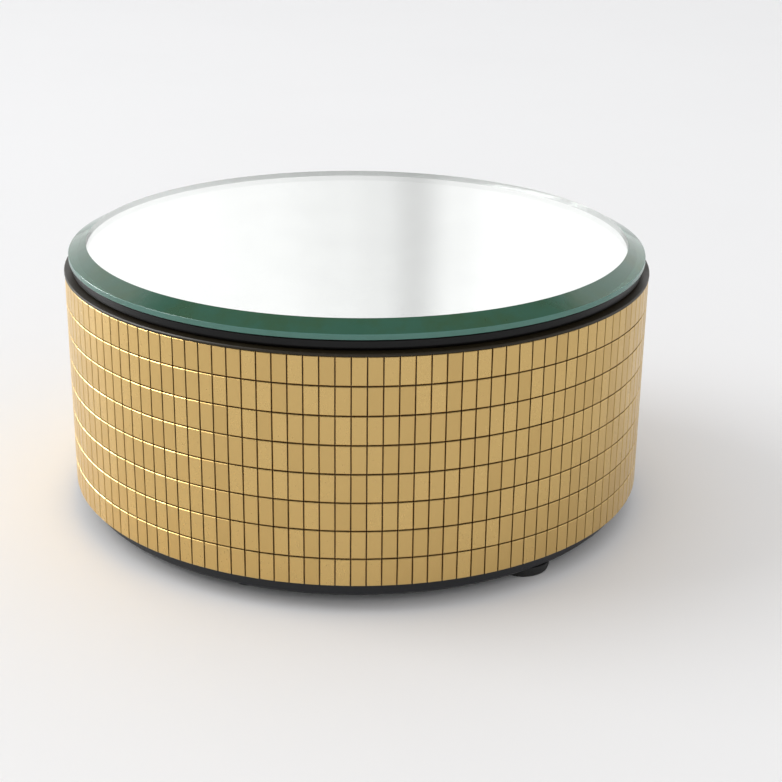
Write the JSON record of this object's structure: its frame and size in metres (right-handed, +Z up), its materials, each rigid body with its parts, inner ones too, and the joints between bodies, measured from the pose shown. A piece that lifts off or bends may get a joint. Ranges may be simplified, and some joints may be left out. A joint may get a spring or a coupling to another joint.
{
  "type": "motorised mirror display turntable",
  "caption": "Round motorised display turntable: a drum clad in gold mosaic tiles with a bevelled mirror top that turns on rollers, driven by a geared motor.",
  "frame": {"origin": "on the turning axis, in the plane that the three rubber feet stand on", "axes": "+Z up along the turning axis, +Y towards the rear panel with the switch and the power inlet, +X to the right seen from the front"},
  "size_m": [0.2034, 0.2034, 0.0944],
  "materials": {
    "abs_black": "fine satin moulded plastic",
    "platter_black": "glossy moulded plastic",
    "trim_brown": "satin brown-black strip",
    "backing_brown": "dark brown mesh and grout",
    "tile_gold": "satin anodised gold with bevelled edges",
    "base_black": "satin moulded plastic",
    "foot_rubber": "matt",
    "screw_steel": "zinc plated",
    "switch_black": "semi-gloss",
    "contact_brass": "tinned brass",
    "pin_steel": "polished",
    "lead_blue": "insulated lead",
    "lead_red": "insulated lead",
    "lead_black": "insulated lead",
    "nylon_white": "natural nylon or acetal",
    "steel_plate": "plated sheet steel",
    "copper_coil": "enamelled copper winding",
    "magnet_grey": "ferrite",
    "bronze_bush": "oil-filled sintered bronze",
    "tape_foam": "double-sided foam tape",
    "mirror_silver": "silvered coating",
    "mirror_glass": "polished float glass with a green edge"
  },
  "bodies": {
    "housing": {"drum_shell": "abs_black", "trim_ring": "trim_brown", "mosaic_backing": "backing_brown", "mosaic_row_1": "tile_gold", "mosaic_row_2": "tile_gold", "mosaic_row_3": "tile_gold", "mosaic_row_4": "tile_gold", "mosaic_row_5": "tile_gold", "mosaic_row_6": "tile_gold", "mosaic_row_7": "tile_gold", "mosaic_row_8": "tile_gold", "base_plate": "base_black", "base_screws": "screw_steel", "rubber_feet": "foot_rubber", "foot_screws": "screw_steel", "rear_panel": "abs_black", "rear_panel_screws": "screw_steel", "switch_body": "switch_black", "switch_terminals": "contact_brass", "inlet_body": "switch_black", "inlet_pin": "pin_steel", "inlet_nut": "screw_steel", "inlet_terminals": "contact_brass", "lead_inlet_switch": "lead_blue", "lead_switch_motor": "lead_red", "lead_inlet_motor": "lead_black", "roller_brackets": "nylon_white", "bracket_screws": "screw_steel", "roller_pins": "pin_steel", "motor_can": "steel_plate", "motor_cover": "steel_plate", "motor_screws": "screw_steel", "motor_nuts": "screw_steel", "motor_lead_boot": "nylon_white", "shaft_bushing": "bronze_bush", "lower_pole_plate": "steel_plate", "upper_pole_plate": "steel_plate", "coil_bobbin": "nylon_white", "coil_winding": "copper_coil", "gear_plate": "steel_plate", "gear_axles": "pin_steel"},
    "platter": {"output_gear": "nylon_white", "output_shaft": "pin_steel", "drive_hub": "nylon_white", "hub_screws": "screw_steel", "platter_disc": "platter_black", "track_ring": "steel_plate", "glass_tape": "tape_foam", "mirror_silvering": "mirror_silver", "mirror_glass": "mirror_glass"},
    "gear_1": {"gear_cluster_1": "nylon_white"},
    "gear_2": {"gear_cluster_2": "nylon_white"},
    "rotor": {"rotor_hub": "nylon_white", "rotor_magnet": "magnet_grey"},
    "roller_1": {"roller_1": "nylon_white"},
    "roller_2": {"roller_2": "nylon_white"},
    "roller_3": {"roller_3": "nylon_white"},
    "rocker": {"switch_rocker": "switch_black"}
  },
  "joints": [
    {"name": "platter_spin", "type": "hinge", "parent": "housing", "child": "platter", "pos_m": [0, 0, 0.0861], "axis": [0, 0, 1], "continuous": true},
    {"name": "gear_2_spin", "type": "hinge", "parent": "housing", "child": "gear_2", "pos_m": [0.01128, 0.0041, 0.076], "axis": [0, 0, 1], "continuous": true},
    {"name": "gear_1_spin", "type": "hinge", "parent": "housing", "child": "gear_1", "pos_m": [0.01668, -0.00525, 0.074], "axis": [0, 0, 1], "continuous": true},
    {"name": "rotor_spin", "type": "hinge", "parent": "housing", "child": "rotor", "pos_m": [0.00588, -0.00525, 0.067], "axis": [0, 0, 1], "continuous": true},
    {"name": "roller_1_spin", "type": "hinge", "parent": "housing", "child": "roller_1", "pos_m": [0.05048, -0.06462, 0.0772], "axis": [0.6157, -0.788, 0], "continuous": true},
    {"name": "roller_2_spin", "type": "hinge", "parent": "housing", "child": "roller_2", "pos_m": [0.03072, 0.07603, 0.0772], "axis": [0.3746, 0.9272, 0], "continuous": true},
    {"name": "roller_3_spin", "type": "hinge", "parent": "housing", "child": "roller_3", "pos_m": [-0.0812, -0.01141, 0.0772], "axis": [-0.9903, -0.1392, 0], "continuous": true},
    {"name": "rocker_tilt", "type": "hinge", "parent": "housing", "child": "rocker", "pos_m": [0.012, 0.09316, 0.03275], "axis": [1, 0, 0], "range_deg": [0, 20]}
  ],
  "couplings": [
    {"joint": "gear_2_spin", "follows": "platter_spin", "ratio": -4},
    {"joint": "gear_1_spin", "follows": "platter_spin", "ratio": 20},
    {"joint": "rotor_spin", "follows": "platter_spin", "ratio": -100},
    {"joint": "roller_1_spin", "follows": "platter_spin", "ratio": -10.25},
    {"joint": "roller_2_spin", "follows": "platter_spin", "ratio": -10.25},
    {"joint": "roller_3_spin", "follows": "platter_spin", "ratio": -10.25}
  ]
}
